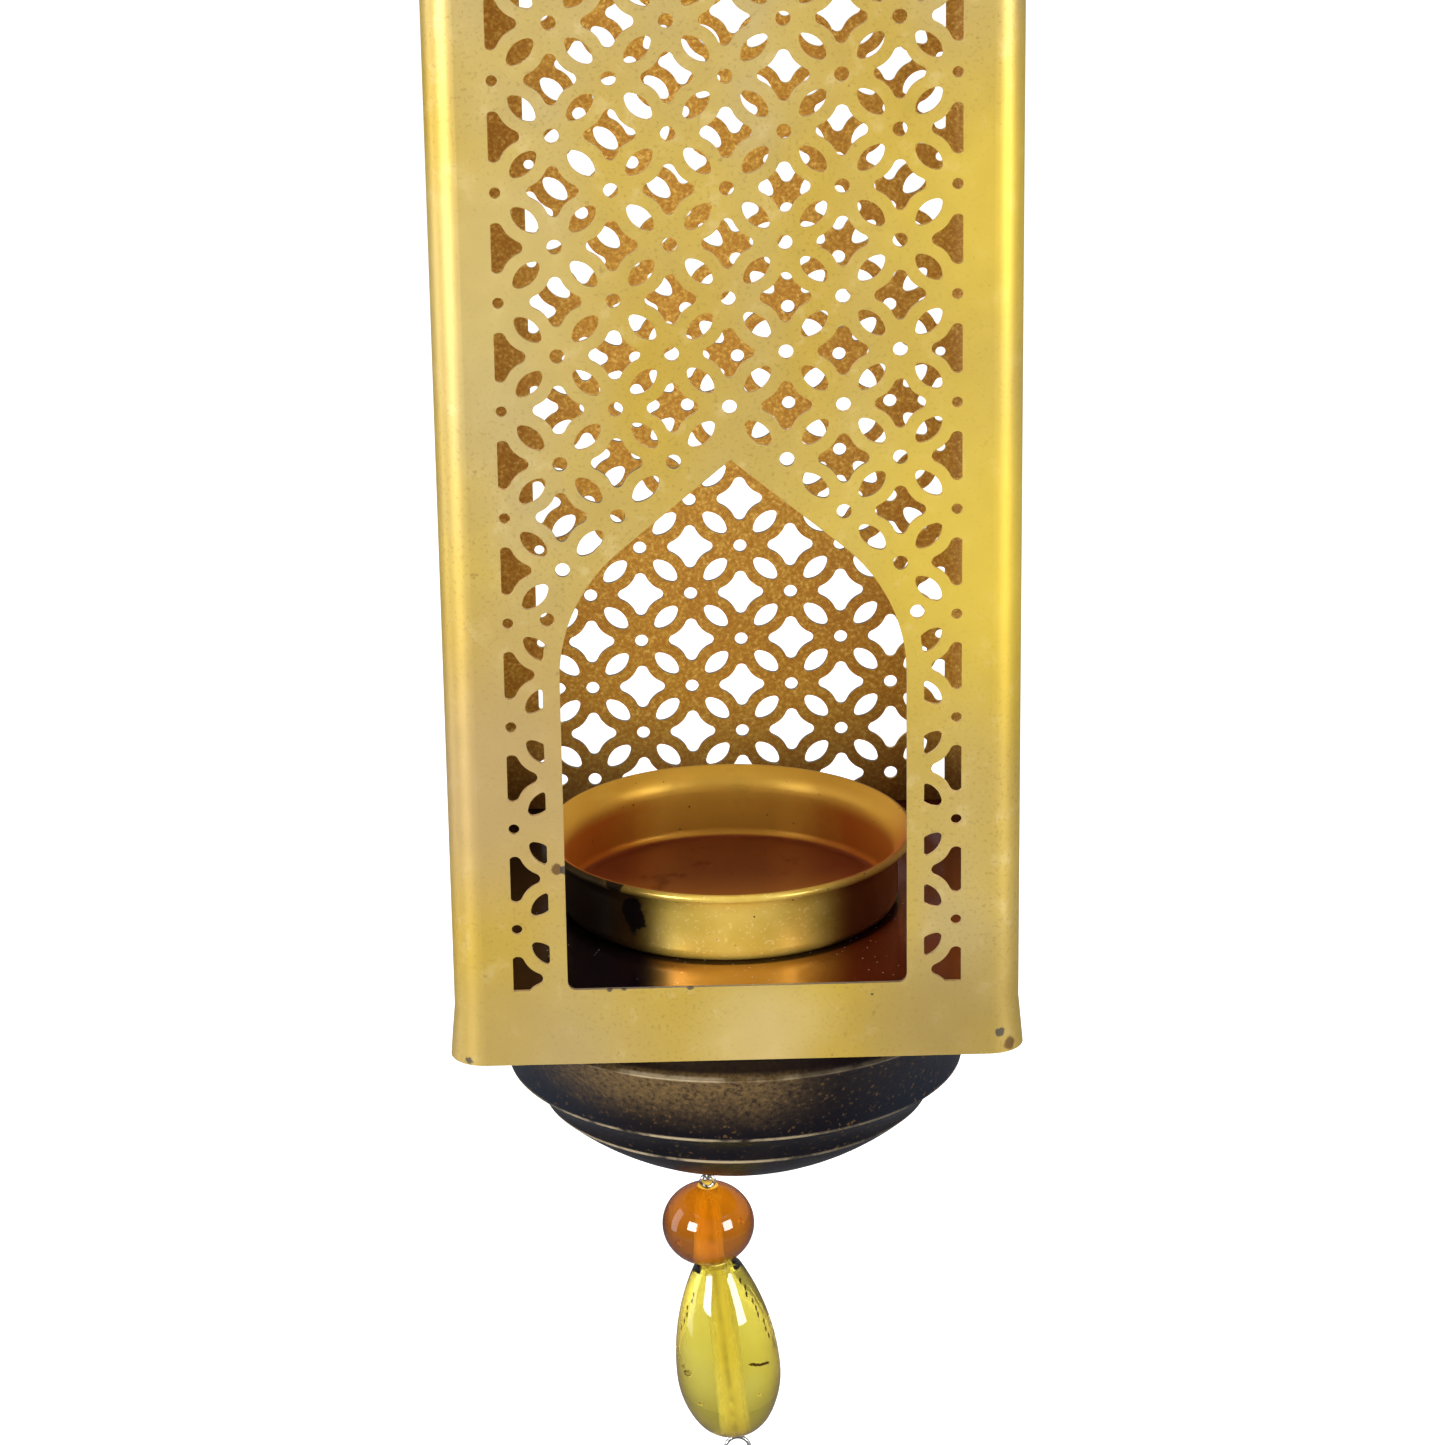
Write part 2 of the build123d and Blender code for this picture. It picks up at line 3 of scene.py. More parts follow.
import bmesh
import bpy
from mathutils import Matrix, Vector


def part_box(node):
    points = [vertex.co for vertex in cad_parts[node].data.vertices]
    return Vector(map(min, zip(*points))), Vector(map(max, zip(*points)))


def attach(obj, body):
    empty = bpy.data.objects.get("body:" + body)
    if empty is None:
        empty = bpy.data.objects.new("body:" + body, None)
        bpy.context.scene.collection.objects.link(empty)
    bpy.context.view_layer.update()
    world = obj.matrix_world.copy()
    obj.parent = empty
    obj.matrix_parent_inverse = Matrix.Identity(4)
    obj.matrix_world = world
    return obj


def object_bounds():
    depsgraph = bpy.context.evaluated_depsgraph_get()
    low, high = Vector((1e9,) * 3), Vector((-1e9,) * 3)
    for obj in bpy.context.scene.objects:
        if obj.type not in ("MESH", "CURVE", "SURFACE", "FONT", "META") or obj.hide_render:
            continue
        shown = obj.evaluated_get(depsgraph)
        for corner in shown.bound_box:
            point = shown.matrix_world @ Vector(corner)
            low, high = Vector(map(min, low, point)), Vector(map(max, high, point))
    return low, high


# The hanging tealight lantern's looks: worn gold paint on the pierced tower, a sooted cup,
# a dark bronze bowl and dome, darkened chain, glass beads on a twisted wire, and a studio
# floor, lights and a camera. Metres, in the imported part's own frame: +Z up, the door faces -Y.

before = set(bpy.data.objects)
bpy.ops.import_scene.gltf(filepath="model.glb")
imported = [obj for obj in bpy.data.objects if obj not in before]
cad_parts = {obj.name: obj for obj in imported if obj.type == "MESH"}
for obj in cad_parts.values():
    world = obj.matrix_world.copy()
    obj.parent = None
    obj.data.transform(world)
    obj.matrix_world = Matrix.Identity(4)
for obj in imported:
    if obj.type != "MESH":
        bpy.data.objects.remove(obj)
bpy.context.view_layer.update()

MM = 0.001

# the tower, its doorway, the cup and the floor plate
TOWER_LOW, TOWER_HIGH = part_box("front_panel")
CUP_LOW, CUP_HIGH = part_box("tealight_cup")
FLOOR_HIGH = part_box("floor_plate")[1]
TOWER_BASE = TOWER_LOW.z
TOWER_HALF = 32.5 * MM        # half the tower's width
FOLD_START = TOWER_HALF - 3.8 * MM
FOLD_END = TOWER_HALF - 3.4 * MM
SILL = TOWER_BASE + 9.2 * MM
DOOR_HALF = 19.4 * MM
DOOR_APEX = TOWER_BASE + 72.0 * MM
CUP_RADIUS = 20.4 * MM
EDGE_SOFTNESS = 0.1 * MM      # bevel along the sheets' edges
EDGE_ANGLE = math.radians(40)

# where the cup is sooted, and where a painted sheen brightens its floor
SIDE_SOOT = Vector((-11.4 * MM, -17.0 * MM, (CUP_LOW.z + CUP_HIGH.z) / 2))
LIP_SOOT = Vector((-13.6 * MM, -16.8 * MM, CUP_HIGH.z))
FLOOR_SHEEN_SPOT = Vector((7.0 * MM, -9 * MM, CUP_LOW.z + 0.5 * MM))

# the bowl's and dome's ridges, which carry painted highlights, measured away from the tower's edge
RIDGES = (3.5 * MM, 12.6 * MM, 17.2 * MM)

# the beads; the drop hangs a little askew from below the round one
ROUND_LOW, ROUND_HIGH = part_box("round_bead")
ROUND_MIDDLE = (ROUND_LOW + ROUND_HIGH) / 2
DROP_TILT = math.radians(5.0)
DROP_AXIS = Vector((math.sin(DROP_TILT), 0, -math.cos(DROP_TILT)))
DROP_TOP = Vector((ROUND_MIDDLE.x + 0.95 * MM, 0, ROUND_LOW.z - 0.04 * MM))
BORE_OUTER, BORE_INNER = 1.3 * MM, 1.2 * MM    # ground glass fades out between these radii
STRAND_BANDS = 420.0          # how close together the wire's twisted strands are

# the studio
ROOM_LIGHT = 0.6              # the room's light on the object; the room is seen at 1
SHEEN_FRONT = 0.15            # how bright the room is in reflections, in front
SHEEN_BACK = 0.3              # and behind
SHEEN_TURN = (-0.35, 0.5)     # where along Y one goes over into the other
STUDIO_SIZE = 8
FLOOR_DROP = 0.25             # the studio floor lies this far below the object
LIGHTS = [                    # name, place from the tower's foot, width, height, watts
    ("key_left", (-0.58, -0.60, 0.20), 0.36, 0.36, 10.0),
    ("fill_right", (0.64, -0.53, 0.20), 0.36, 0.36, 8.0),
    ("overhead", (0.0, -0.15, 1.0), 0.9, 0.7, 3.0),
    ("side_left", (-0.80, 0.06, 0.10), 0.30, 0.7, 1.8),
]
CAMERA_PLACE = Vector((-0.0138, -0.5434, TOWER_BASE + 0.2266))
CAMERA_TURN = (70.07, 0.79, -1.69)             # degrees
CAMERA_SENSOR, CAMERA_LENS = 36.0, 120.8       # millimetres

# a Mix node's sockets for colours
COLOR_A, COLOR_B, COLOR_RESULT = 6, 7, 2


# ---- short calls for building a material's nodes --------------------------------------

def feed(tree, socket, value):
    """Links a socket to a node's output, or sets it to a plain value."""
    if isinstance(value, bpy.types.NodeSocket):
        tree.links.new(value, socket)
    else:
        socket.default_value = value


def add_node(tree, kind, inputs=None, **settings):
    """A new node with these settings, its inputs given by name or number."""
    node = tree.nodes.new(kind)
    for key, value in settings.items():
        setattr(node, key, value)
    for key, value in (inputs or {}).items():
        feed(tree, node.inputs[key], value)
    return node


class Paint:
    """One material and the few node shapes that every material here is built from."""

    def __init__(self, name):
        self.material = bpy.data.materials.new(name)
        self.material.use_nodes = True
        self.tree = self.material.node_tree
        self.shader = self.tree.nodes["Principled BSDF"]
        self.place = self.add("ShaderNodeTexCoord").outputs["Object"]
        axes = self.add("ShaderNodeSeparateXYZ", {"Vector": self.place})
        self.x, self.y, self.z = axes.outputs
        normal = self.add("ShaderNodeTexCoord").outputs["Normal"]
        facing = self.add("ShaderNodeSeparateXYZ", {"Vector": normal})
        self.facing_x, self.facing_y, self.facing_z = facing.outputs

    def add(self, kind, inputs=None, **settings):
        return add_node(self.tree, kind, inputs, **settings)

    def noise(self, size, detail, rough=0.55, stretch=(1, 1, 1), shift=(0, 0, 0)):
        """Value noise whose blotches are about this many metres across."""
        mapping = {"Vector": self.place, "Scale": stretch, "Location": shift}
        moved = self.add("ShaderNodeMapping", mapping)
        node = self.add(
            "ShaderNodeTexNoise",
            {
                "Vector": moved.outputs["Vector"],
                "Scale": 0.5 / size,
                "Detail": detail,
                "Roughness": rough,
            },
        )
        return node.outputs["Fac"]

    def specks(self, size, reach):
        """1 in small round specks, one in each cell of this size, else 0."""
        cells = self.add(
            "ShaderNodeTexVoronoi",
            {"Vector": self.place, "Scale": 1 / size, "Randomness": 1.0},
        )
        return self.step(cells.outputs["Distance"], reach, reach * 0.6)

    def step(self, value, low, high):
        """0 below low, 1 above high, smooth between; low may be the larger."""
        node = self.add(
            "ShaderNodeMapRange",
            {"Value": value, "From Min": low, "From Max": high},
            interpolation_type="SMOOTHSTEP",
            clamp=True,
        )
        return node.outputs["Result"]

    def math(self, operation, a, b=0.0):
        node = self.add("ShaderNodeMath", {0: a, 1: b}, operation=operation)
        return node.outputs["Value"]

    def vector(self, operation, a, b, result="Vector"):
        node = self.add("ShaderNodeVectorMath", {0: a, 1: b}, operation=operation)
        return node.outputs[result]

    def from_axis(self):
        """Distance from the lantern's upright middle line."""
        squares = self.math("ADD", self.times(self.x, self.x), self.times(self.y, self.y))
        return self.math("SQRT", squares)

    def times(self, *values):
        result = values[0]
        for value in values[1:]:
            result = self.math("MULTIPLY", result, value)
        return result

    def mix(self, factor, a, b):
        """Colour a where factor is 0, b where it is 1."""
        inputs = {"Factor": factor, COLOR_A: a, COLOR_B: b}
        return self.add("ShaderNodeMix", inputs, data_type="RGBA").outputs[COLOR_RESULT]

    def span(self, factor, low, high):
        """A number that goes from low to high as factor goes from 0 to 1."""
        inputs = {"Value": factor, "To Min": low, "To Max": high}
        return self.add("ShaderNodeMapRange", inputs, clamp=True).outputs["Result"]

    def bump(self, height, distance, strength, under=None):
        """A normal for this relief, laid over another one when that is given."""
        inputs = {"Height": height, "Distance": distance, "Strength": strength}
        if under:
            inputs["Normal"] = under
        return self.add("ShaderNodeBump", inputs).outputs["Normal"]

    def near(self, point, radius, ragged, core=0.75):
        """1 within core of the radius of a point, 0 beyond the radius, with a ragged edge."""
        gap = self.vector("DISTANCE", self.place, point, "Value")
        uneven = self.math("SUBTRACT", self.noise(radius * 0.8, 4), 0.5)
        wobble = self.math("MULTIPLY", uneven, radius * 2 * ragged)
        return self.step(self.math("ADD", gap, wobble), radius, radius * core)

    def finish(self, color, roughness, metallic=0.0, normal=None, **others):
        """The material, its shader fed; others are inputs by name, with _ for a space."""
        inputs = {"Base Color": color, "Roughness": roughness, "Metallic": metallic}
        if normal:
            inputs["Normal"] = normal
        inputs.update((key.replace("_", " "), value) for key, value in others.items())
        for key, value in inputs.items():
            feed(self.tree, self.shader.inputs[key], value)
        return self.material


def rgb(red, green, blue):
    """sRGB 0 to 255 as a linear colour."""
    values = []
    for channel in (red, green, blue):
        c = channel / 255
        values.append(c / 12.92 if c <= 0.04045 else ((c + 0.055) / 1.055) ** 2.4)
    return (*values, 1.0)


# ---- materials ------------------------------------------------------------------------

def gold_paint(name, axis, inward):
    """Antique gold paint: satin outside, speckled inside and darker towards its bottom there,
    bright at cut edges as bare metal and painted highlight.

    axis is the one the sheet faces along, and inward the sign of its inner side.
    """
    p = Paint(name)
    facing = p.facing_y if axis == "y" else p.facing_x
    inside = p.step(p.math("MULTIPLY", facing, inward), 0.2, 0.7)
    cut = p.step(p.math("ABSOLUTE", facing), 0.75, 0.45)
    if axis == "y":  # the rounded folds at the corners aren't cut edges
        fold = p.step(p.math("ABSOLUTE", p.x), FOLD_START, FOLD_END)
        cut = p.math("MULTIPLY", cut, p.math("SUBTRACT", 1.0, fold))
    clouds = p.noise(26 * MM, 2, 0.5, stretch=(1.6, 1.6, 0.6))
    patches = p.noise(7 * MM, 3, 0.5)
    mottle = p.noise(1.5 * MM, 4, 0.6)
    grain = p.noise(0.22 * MM, 2, 0.6)
    outside = p.mix(p.step(clouds, 0.40, 0.66), rgb(185, 154, 56), rgb(182, 161, 108))
    outside = p.mix(p.times(p.step(patches, 0.45, 0.72), 0.45), outside, rgb(196, 167, 71))
    outside = p.mix(p.times(p.step(mottle, 0.55, 0.75), 0.3), outside, rgb(210, 191, 144))
    outside = p.mix(p.times(p.step(grain, 0.45, 0.3), 0.25), outside, rgb(111, 85, 37))
    # inside, the paint is darker towards the bottom
    low = p.step(p.z, TOWER_BASE + 24 * MM, TOWER_BASE + 8 * MM)
    speckle = p.step(p.noise(0.22 * MM, 3, 0.7), 0.38, 0.64)
    within = p.mix(speckle, rgb(176, 122, 30), rgb(206, 164, 62))
    within = p.mix(p.times(p.step(patches, 0.5, 0.72), 0.2), within, rgb(164, 102, 24))
    within = p.mix(p.times(p.step(grain, 0.6, 0.7), 0.4), within, rgb(250, 220, 130))
    within = p.mix(p.times(low, 0.6), within, rgb(70, 40, 22))
    color = p.mix(inside, outside, within)
    # the cut edges are partly bare metal and partly a painted highlight
    color = p.mix(p.times(cut, 0.85), color, rgb(238, 220, 168))
    doorway = p.times(
        p.step(p.math("ABSOLUTE", facing), 0.95, 0.8),
        p.step(p.math("ABSOLUTE", p.x), DOOR_HALF + 0.5 * MM, DOOR_HALF + 0.3 * MM),
        p.step(p.z, DOOR_APEX + 1 * MM, DOOR_APEX),
    )
    color = p.mix(p.times(doorway, 0.9), color, rgb(132, 130, 128))
    marks = p.times(p.step(p.noise(0.8 * MM, 4, 0.7, shift=(3, 1, 2)), 0.66, 0.74), 0.5)
    color = p.mix(marks, color, rgb(104, 74, 30))
    rough = p.math("ADD", p.span(mottle, 0.36, 0.48), p.times(inside, 0.1))
    metal = p.span(inside, 0.7, 0.1)
    normal = p.bump(p.math("ADD", p.times(grain, 0.4), mottle), 0.04 * MM, 0.4)
    normal = p.bump(clouds, 1.2 * MM, 0.25, under=normal)
    if name == "gold_paint_front":
        color = front_wear(p, color)
    return p.finish(color, rough, metal, normal)


def front_wear(p, color):
    """The front's broad uneven tones, partly faded paint and partly painted sheen and shade, and
    chips down to brown primer and bare grey steel.
    """
    face = TOWER_LOW.y
    primer = [                # x and z, radius
        ((-DOOR_HALF - 0.8 * MM, SILL + 14.9 * MM), 0.9 * MM),
        ((31.6 * MM, TOWER_BASE + 1.0 * MM), 1.3 * MM),
    ]
    steel = [                 # x and z, radius
        ((-DOOR_HALF, SILL + 14.7 * MM), 0.6 * MM),
        ((30.2 * MM, TOWER_BASE + 2.6 * MM), 0.7 * MM),
        ((-14.6 * MM, SILL + 0.1 * MM), 0.45 * MM),
        ((-13.0 * MM, SILL + 0.1 * MM), 0.4 * MM),
        ((-5.4 * MM, SILL + 0.1 * MM), 0.5 * MM),
        ((15.4 * MM, SILL - 1.4 * MM), 0.18 * MM),
        ((-31.2 * MM, TOWER_BASE + 0.4 * MM), 0.8 * MM),
    ]
    # broad patches, partly faded paint and partly painted sheen and shade
    fade_and_sheen = [                 # x, height above the tower's base and radius in mm, colour
        ((-28.5, 34, 26), (174, 149, 108)),
        ((-24, 3, 18), (171, 146, 89)),
        ((24, 3, 17), (149, 123, 61)),
        ((3, 3, 11), (198, 174, 114)),
        ((-29, 92, 22), (189, 167, 105)),
        ((31, 60, 30), (216, 187, 67)),
        ((30, 98, 24), (211, 182, 67)),
    ]
    for (x, height, size), tone in fade_and_sheen:
        middle = Vector((x * MM, face, TOWER_BASE + height * MM))
        patch = p.near(middle, size * MM, 0.35, core=0.15)
        color = p.mix(p.times(patch, 0.7), color, rgb(*tone))
    for (x, z), radius in primer:
        gone = p.near(Vector((x, face, z)), radius, 0.6)
        color = p.mix(p.times(gone, 0.8), color, rgb(84, 52, 30))
    for (x, z), radius in steel:
        gone = p.near(Vector((x, face, z)), radius, 0.7)
        color = p.mix(p.times(gone, 0.85), color, rgb(62, 60, 62))
    return color


def soot_cup():
    """Satin gold cup, bright in front and darker at its sides as painted shade, blackened on its
    left, burnt brown in patches inside, its floor and mouth brightened with painted light.
    """
    p = Paint("cup_paint")
    radius = p.from_axis()
    along = p.math("ADD", p.times(p.x, p.facing_x), p.times(p.y, p.facing_y))
    outwards = p.math("DIVIDE", along, radius)
    inner_wall = p.times(p.step(outwards, 0.1, -0.1), p.step(p.facing_z, -0.6, -0.4))
    well = p.step(radius, CUP_RADIUS - 0.2 * MM, CUP_RADIUS - 0.35 * MM)
    on_floor = p.times(well, p.step(p.facing_z, 0.6, 0.9))
    inner = p.math("MAXIMUM", inner_wall, on_floor)
    ragged = p.times(p.math("SUBTRACT", p.noise(2.6 * MM, 5, 0.65), 0.5), 5 * MM)
    across = p.math("ADD", p.x, ragged)
    left_shade = p.step(p.x, -6.5 * MM, -12.0 * MM)
    right_shade = p.step(p.x, 8.0 * MM, 14.5 * MM)
    left_soot = p.near(SIDE_SOOT, 2.3 * MM, 1.3)
    lip_soot = p.near(LIP_SOOT, 2.0 * MM, 0.9)
    left_soot = p.math("MAXIMUM", left_soot, lip_soot)
    side_soot = p.step(across, -11.5 * MM, -16.0 * MM)
    left_soot = p.math("MAXIMUM", left_soot, p.times(side_soot, 0.9))
    sparkle = p.noise(0.24 * MM, 2, 0.6)
    mottle = p.noise(2.2 * MM, 4, 0.6)
    gold = p.mix(p.step(mottle, 0.3, 0.75), rgb(194, 164, 70), rgb(206, 178, 88))
    gold = p.mix(p.times(p.step(sparkle, 0.58, 0.68), 0.5), gold, rgb(226, 204, 130))
    shade = p.math("MAXIMUM", left_shade, right_shade)
    lip = p.step(p.z, CUP_HIGH.z - 1.2 * MM, CUP_HIGH.z - 0.8 * MM)
    dusky = p.mix(right_shade, rgb(40, 12, 6), rgb(84, 24, 6))
    outer = p.mix(p.times(shade, p.span(lip, 0.95, 0.6)), gold, dusky)
    outer = p.mix(p.times(left_soot, 0.97), outer, rgb(7, 4, 7))
    # painted shade: the inner wall is darker towards its far sides; the inner colours are also
    # brightened to stand in for light inside the cup
    far_sides = p.step(p.math("ABSOLUTE", across), 7 * MM, 16 * MM)
    wall = p.mix(far_sides, rgb(212, 164, 62), rgb(178, 100, 30))
    # painted light: the cup's floor is brighter at the front, where light comes through the door,
    # with a painted sheen spot
    floor = p.mix(p.step(p.y, 9 * MM, -10 * MM), rgb(132, 72, 44), rgb(222, 156, 66))
    floor_sheen = p.near(FLOOR_SHEEN_SPOT, 4.5 * MM, 0.4)
    floor = p.mix(p.times(floor_sheen, 0.7), floor, rgb(236, 186, 90))
    # painted sheen: the back of the cup's mouth is brightened
    near_lip = p.step(p.z, CUP_HIGH.z - 4.2 * MM, CUP_HIGH.z - 1.5 * MM)
    mouth_sheen = p.times(near_lip, p.step(p.y, -8 * MM, 10 * MM))
    wall = p.mix(p.times(mouth_sheen, 0.8), wall, rgb(238, 200, 84))
    within = p.mix(on_floor, wall, floor)
    dark_area = p.step(p.noise(5 * MM, 5, 0.7, shift=(5, 5, 1)), 0.58, 0.72)
    within = p.mix(p.times(dark_area, p.span(on_floor, 0.1, 0.5)), within, rgb(84, 38, 18))
    color = p.mix(inner, outer, within)
    pitted = p.step(p.noise(5 * MM, 2, shift=(2, 0, 0)), 0.4, 0.6)
    pits = p.times(p.specks(1.6 * MM, 0.09), pitted)
    color = p.mix(p.times(pits, 0.9), color, rgb(30, 12, 8))
    charred = p.math("MAXIMUM", p.times(left_soot, 0.6), dark_area)
    rough = p.math("ADD", p.span(mottle, 0.26, 0.34), p.times(charred, 0.15))
    rough = p.math("ADD", rough, p.times(inner, 0.12))
    normal = p.bump(p.math("ADD", p.times(mottle, 0.6), p.times(sparkle, 0.4)), 0.04 * MM, 0.4)
    metal = p.times(p.span(left_soot, 0.45, 0.1), p.span(inner, 1.0, 1.2))
    gloss = p.span(p.math("MAXIMUM", left_soot, p.times(left_shade, 0.8)), 0.5, 0.1)
    return p.finish(color, rough, metal, normal, Specular_IOR_Level=gloss)


def floor_lacquer():
    """Glossy brown plate, dusty with a few pale specks, darker on its left, with a painted
    reflection in front of the cup and a painted shadow round the cup's foot.
    """
    p = Paint("floor_lacquer")
    mottle = p.noise(4 * MM, 4, 0.6)
    color = p.mix(p.step(mottle, 0.35, 0.7), rgb(150, 92, 32), rgb(186, 130, 48))
    # darker towards the right, and near black on the left
    color = p.mix(p.step(p.x, 7 * MM, 15 * MM), color, rgb(112, 44, 16))
    dark_area = p.step(p.math("ADD", p.x, p.times(mottle, 4 * MM)), -4 * MM, -9 * MM)
    color = p.mix(dark_area, color, rgb(26, 14, 20))
    gleam = p.near(Vector((1.0 * MM, -24 * MM, FLOOR_HIGH.z)), 12 * MM, 0.3, core=0.2)
    color = p.mix(p.times(gleam, 0.7), color, rgb(204, 148, 52))
    # painted shadow: a dark ring where the cup stands on the plate
    from_foot = p.math("ABSOLUTE", p.math("SUBTRACT", p.from_axis(), CUP_RADIUS - 0.5 * MM))
    foot_shadow = p.step(from_foot, 1.1 * MM, 0.6 * MM)
    color = p.mix(p.times(foot_shadow, 0.9), color, rgb(16, 9, 10))
    dust = p.specks(1.1 * MM, 0.11)
    dusty = p.times(dust, p.step(p.noise(5 * MM, 2), 0.42, 0.58))
    color = p.mix(p.times(dusty, 0.85), color, rgb(226, 220, 210))
    rough = p.span(mottle, 0.1, 0.2)
    normal = p.bump(p.noise(1.2 * MM, 3), 0.03 * MM, 0.3)
    return p.finish(color, rough, 0.55, normal)


def dark_bronze(name, edge, direction):
    """Near-black lacquered bronze, gold overspray near the tower, painted highlights along its
    ridges, a painted bluish reflection on its sides and a painted shadow next to the tower's edge.

    edge is the height of the tower's end that it starts from, and direction 1 for up, -1 down.
    """
    p = Paint(name)
    depth = p.math("MULTIPLY", p.math("SUBTRACT", p.z, edge), direction)
    mottle = p.noise(3 * MM, 5, 0.65)
    grain = p.noise(0.32 * MM, 3, 0.65)
    dark = p.mix(p.step(mottle, 0.35, 0.7), rgb(9, 8, 12), rgb(17, 13, 14))
    # painted reflection: bluish towards the sides
    at_sides = p.step(p.math("ABSOLUTE", p.x), 9 * MM, 24 * MM)
    side_sheen = p.times(at_sides, p.step(depth, 17 * MM, 12 * MM))
    dark = p.mix(p.times(side_sheen, 0.8), dark, rgb(21, 24, 31))
    dark = p.mix(p.times(p.step(grain, 0.6, 0.68), 0.5), dark, rgb(76, 56, 30))
    spray_edge = p.math("ADD", depth, p.times(p.math("SUBTRACT", mottle, 0.5), 4 * MM))
    from_middle = p.math("ABSOLUTE", p.math("ADD", p.x, 7 * MM))
    middle = p.step(p.math("ADD", from_middle, p.times(mottle, 6 * MM)), 22 * MM, 8 * MM)
    near_tower = p.step(spray_edge, 12 * MM, 3 * MM)
    spray = p.times(near_tower, p.step(grain, 0.2, 0.65), p.span(middle, 0.03, 0.6))
    color = p.mix(spray, dark, rgb(118, 94, 58))
    # painted highlights: thin light lines along the ridges, broken up by noise and strongest in
    # the middle
    ridges = None
    for ridge in RIDGES:
        gap = p.math("ABSOLUTE", p.math("SUBTRACT", depth, ridge))
        line = p.step(gap, 0.38 * MM, 0.08 * MM)
        ridges = line if ridges is None else p.math("MAXIMUM", ridges, line)
    glint_shown = p.step(p.noise(5 * MM, 4, 0.7, shift=(1, 7, 3)), 0.36, 0.6)
    marks = p.times(ridges, glint_shown, p.span(middle, 0.2, 1.0))
    color = p.mix(p.times(marks, 0.75), color, rgb(176, 158, 126))
    # painted shadow: a dark band next to the tower's edge
    neck_shadow = p.step(depth, 3.3 * MM, 2.7 * MM)
    color = p.mix(p.times(neck_shadow, 0.9), color, rgb(18, 12, 11))
    rough = p.span(grain, 0.24, 0.4)
    normal = p.bump(p.math("ADD", mottle, p.times(grain, 0.6)), 0.04 * MM, 0.5)
    metal = p.times(p.math("MAXIMUM", spray, p.times(marks, 0.8)), 0.6)
    return p.finish(color, rough, metal, normal, Specular_IOR_Level=0.03)


def darkened_steel():
    """Brass-plated wire gone dark, rubbed bright in small scattered specks."""
    p = Paint("chain_steel")
    mottle = p.noise(1.4 * MM, 4, 0.65)
    fine = p.noise(0.25 * MM, 2)
    color = p.mix(p.step(mottle, 0.38, 0.62), rgb(92, 66, 32), rgb(176, 138, 74))
    color = p.mix(p.times(p.step(fine, 0.58, 0.7), 0.5), color, rgb(224, 196, 138))
    color = p.mix(p.times(p.step(mottle, 0.36, 0.3), 0.7), color, rgb(30, 22, 16))
    normal = p.bump(p.math("ADD", mottle, p.times(fine, 0.5)), 0.04 * MM, 0.4)
    return p.finish(color, p.span(mottle, 0.42, 0.27), 0.9, normal)


def bright_wire():
    """Bright twisted wire, dark between its strands and a little tarnished."""
    p = Paint("bead_wire")
    drawn = p.noise(0.5 * MM, 3, 0.6, stretch=(1, 1, 0.15))
    waves = {"Vector": p.place, "Scale": STRAND_BANDS}
    strands = p.add("ShaderNodeTexWave", waves, bands_direction="DIAGONAL")
    twist = strands.outputs["Fac"]
    color = p.mix(p.step(drawn, 0.4, 0.65), rgb(168, 166, 160), rgb(226, 226, 224))
    color = p.mix(p.times(p.step(twist, 0.3, 0.05), 0.8), color, rgb(62, 54, 44))
    color = p.mix(p.times(p.step(p.noise(1.1 * MM, 4), 0.6, 0.7), 0.6), color, rgb(120, 98, 70))
    normal = p.bump(p.math("ADD", twist, p.times(drawn, 0.3)), 0.09 * MM, 0.8)
    return p.finish(color, p.span(drawn, 0.2, 0.36), 1.0, normal)


def tinted_glass(name, pale, deep, rim_shade, glow, bore_point, bore_axis, stretch):
    """Clear glass with streaks of deeper colour and painted shade towards its outline; its drilled
    hole's wall is ground and glows.

    The hole runs through bore_point along bore_axis. Its glow stands in for scattered light.
    """
    p = Paint(name)
    streaks = p.noise(3.5 * MM, 3, 0.5, stretch=stretch)
    color = p.mix(p.step(streaks, 0.35, 0.68), pale, deep)
    # painted shade: darker where the surface turns away, towards the outline
    edge_on = p.add("ShaderNodeLayerWeight", {"Blend": 0.5}).outputs["Facing"]
    color = p.mix(p.step(edge_on, 0.2, 0.8), color, rim_shade)
    across = p.vector("CROSS_PRODUCT", p.vector("SUBTRACT", p.place, bore_point), bore_axis)
    radius = p.add("ShaderNodeVectorMath", {0: across}, operation="LENGTH").outputs["Value"]
    bore = p.step(radius, BORE_OUTER, BORE_INNER)
    color = p.mix(p.times(bore, 0.8), color, rgb(252, 238, 190))
    grind = p.noise(0.3 * MM, 3, 0.7)
    normal = p.bump(p.noise(3 * MM, 2), 0.12 * MM, 0.35)
    normal = p.bump(p.times(grind, bore), 0.08 * MM, 0.6, under=normal)
    rough = p.math("ADD", p.span(streaks, 0.015, 0.05), p.times(bore, 0.6))
    return p.finish(
        color,
        rough,
        0.0,
        normal,
        Transmission_Weight=1.0,
        IOR=1.5,
        Emission_Color=glow,
        Emission_Strength=p.times(bore, p.span(grind, 0.2, 0.46)),
    )


def air_bubble():
    """Air trapped in the glass."""
    p = Paint("air_bubble")
    color = p.mix(p.noise(0.4 * MM, 2), rgb(250, 240, 210), rgb(225, 190, 120))
    return p.finish(color, 0.03, 0.0, None, Transmission_Weight=1.0, IOR=0.67)


